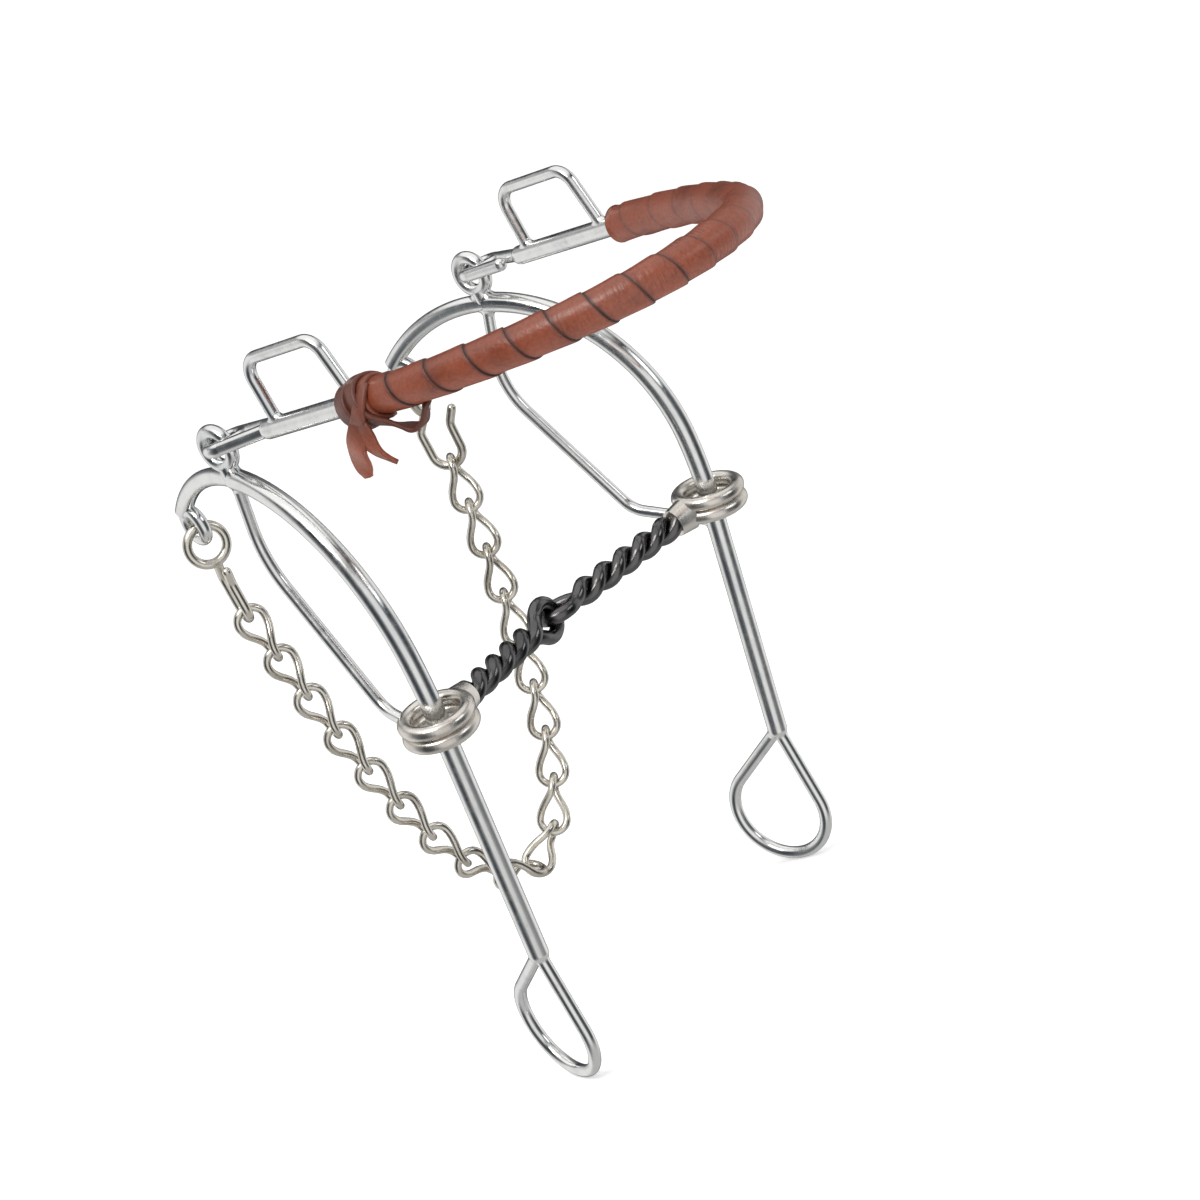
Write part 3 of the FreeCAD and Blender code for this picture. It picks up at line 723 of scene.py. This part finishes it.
def node_tree(names):
    """A search tree over CAD nodes' surfaces."""
    points, faces = [], []
    for name in names:
        mesh = frame["nodes"][name].data
        start = len(points)
        points += [vertex.co / MM for vertex in mesh.vertices]
        faces += [tuple(start + index for index in face.vertices) for face in mesh.polygons]
    return BVHTree.FromPolygons(points, faces)


def bead(host, origin, direction, radius, flare, top_radius=None):
    """A concave weld fillet round a rod where it leaves its host; a closed ring of points and faces."""
    axis = direction.normalized()
    first = axis.orthogonal().normalized()
    second = axis.cross(first)
    top = top_radius or radius
    points = []
    for n in range(BEAD_STEPS):
        angle = TAU * n / BEAD_STEPS
        out = first * math.cos(angle) + second * math.sin(angle)
        hit = host.ray_cast(origin + out * radius + axis * 14, -axis, 30)[0]
        corner = hit if hit else origin + out * radius
        foot, normal, _, _ = host.find_nearest(corner + out * flare)
        foot = foot - normal * BEAD_SINK
        crown = origin + out * (top - BEAD_SINK) + axis * ((corner - origin).dot(axis) + flare)
        for k in range(BEAD_ROWS):
            t = k / (BEAD_ROWS - 1)
            points.append(foot * (1 - t) ** 2 + corner * (2 * t * (1 - t)) + crown * t**2)
        points.append(corner - out * 0.8 - axis * 0.6)
    return points, grid_faces(BEAD_STEPS, BEAD_ROWS + 1, wrap_rows=True)


def make_beads(name, body, joins):
    points, faces = [], []
    for join in joins:
        ring, ring_faces = bead(*join)
        faces += [tuple(len(points) + index for index in face) for face in ring_faces]
        points += [point * MM for point in ring]
    piece = mesh_object(name, points, faces)
    merge_close(piece)
    piece.data.materials.append(MATERIALS["polished_steel"])
    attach(piece, body)


def rein_joins(bow, side, crotch):
    """The two legs of the rein loop, where they leave the end of the shank."""
    centre = cheek_place(side, *REIN_CENTRE)
    reach = centre - crotch
    spread = math.asin(REIN_RADIUS / reach.length)
    turn_axis = cheek_place(side, 1, 0) - cheek_place(side, 0, 0)
    turn_axis = turn_axis.cross(UP).normalized()
    return [(bow, crotch, Quaternion(turn_axis, way * spread) @ reach, REIN_ROD / 2, 2.6) for way in (1, -1)]


def make_welds():
    for side, hand in SIDES:
        bow = node_tree([f"cheek_bow_{hand}", f"curb_arm_{hand}"])
        crown = math.acos(BOW_BACK / BOW_RADIUS)
        top = cheek_place(side, 0, BOW_DROP - BOW_RADIUS * math.sin(crown))
        kink = cheek_place(side, *BRACE_KINK)
        foot = cheek_place(side, *BRACE_FOOT)
        middle = node_middle(f"mouth_ring_{hand}")
        slope = cheek_place(side, -math.tan(SHANK_LEAN), 1) - cheek_place(side, 0, 0)
        join = middle + slope * (BRACE_JOIN + middle.z)
        crotch = middle + slope * (CROTCH_DROP + middle.z)
        make_beads(f"cheek_welds_{hand}", f"{hand}_cheek", [
            (bow, top, UP, NECK_RADIUS, 3.2, NECK_RADIUS - 0.5),
            (bow, top, kink - top, BRACE_RADIUS, 2.6),
            (bow, join, foot - join, BRACE_RADIUS, 2.0)] + rein_joins(bow, side, crotch))
    core = node_tree(["noseband_core"])
    joins = []
    for side, _ in SIDES:
        for along, lean in ((SLOT_REAR, -0.2 * SLOT_LEAN), (SLOT_FRONT, -SLOT_LEAN)):
            foot = Vector((side * (EYE_HALF_WIDTH - along * math.tan(LEG_TAPER)), EYE_BACK + along, 0))
            joins.append((core, foot, Vector((0, lean, SLOT_HEIGHT)), SLOT_RADIUS, 2.2))
    make_beads("headstall_welds", "noseband", joins)


# ---- finish ----------------------------------------------------------------------------------------------

MATERIALS = {
    "polished_steel": metal("steel_polished", (0.80, 0.80, 0.79), (0.70, 0.71, 0.72), (0.42, 0.40, 0.37),
                            0.14, 0.28, 0.10, spots=0.35),
    "ring_steel": metal("steel_satin", (0.74, 0.70, 0.65), (0.60, 0.56, 0.51), (0.36, 0.31, 0.26),
                        0.22, 0.38, 0.22, spots=0.5),
    "blued_wire": metal("wire_blackened", (0.135, 0.131, 0.131), (0.082, 0.082, 0.086), (0.19, 0.15, 0.12),
                        0.13, 0.27, 0.18, spots=0.4),
    "nickel": metal("nickel_warm", (0.72, 0.68, 0.61), (0.56, 0.52, 0.45), (0.30, 0.25, 0.19),
                    0.16, 0.34, 0.25, spots=0.6),
    # The third leather colour is the dark cut edge and painted shade.
    "leather": leather("leather_brown", (0.265, 0.062, 0.028), (0.175, 0.040, 0.019), (0.035, 0.011, 0.008)),
}


def dress_nodes():
    """Gives every CAD node its slot's material."""
    for part in frame["record"]["subparts"]:
        node = frame["nodes"][part["node"]]
        node.data.materials.clear()
        node.data.materials.append(MATERIALS[part["material_slot"]])


dress_nodes()
make_camera()
make_world()
make_stage()
soft_light("key_softbox", (0.9, 0.2, 1.1), (0, 0, -0.1), 0.7, 0.7, 9.0, (1.0, 0.985, 0.96))
soft_light("fill_softbox", (-0.5, 1.2, 0.5), (0, 0, -0.1), 0.8, 0.5, 3.0, (0.95, 0.98, 1.0))
make_wrap()
make_knot()
for side, hand in SIDES:
    make_mouth_bar(side, hand)
make_chain()
make_welds()

bpy.context.scene.view_settings.view_transform = "Standard"
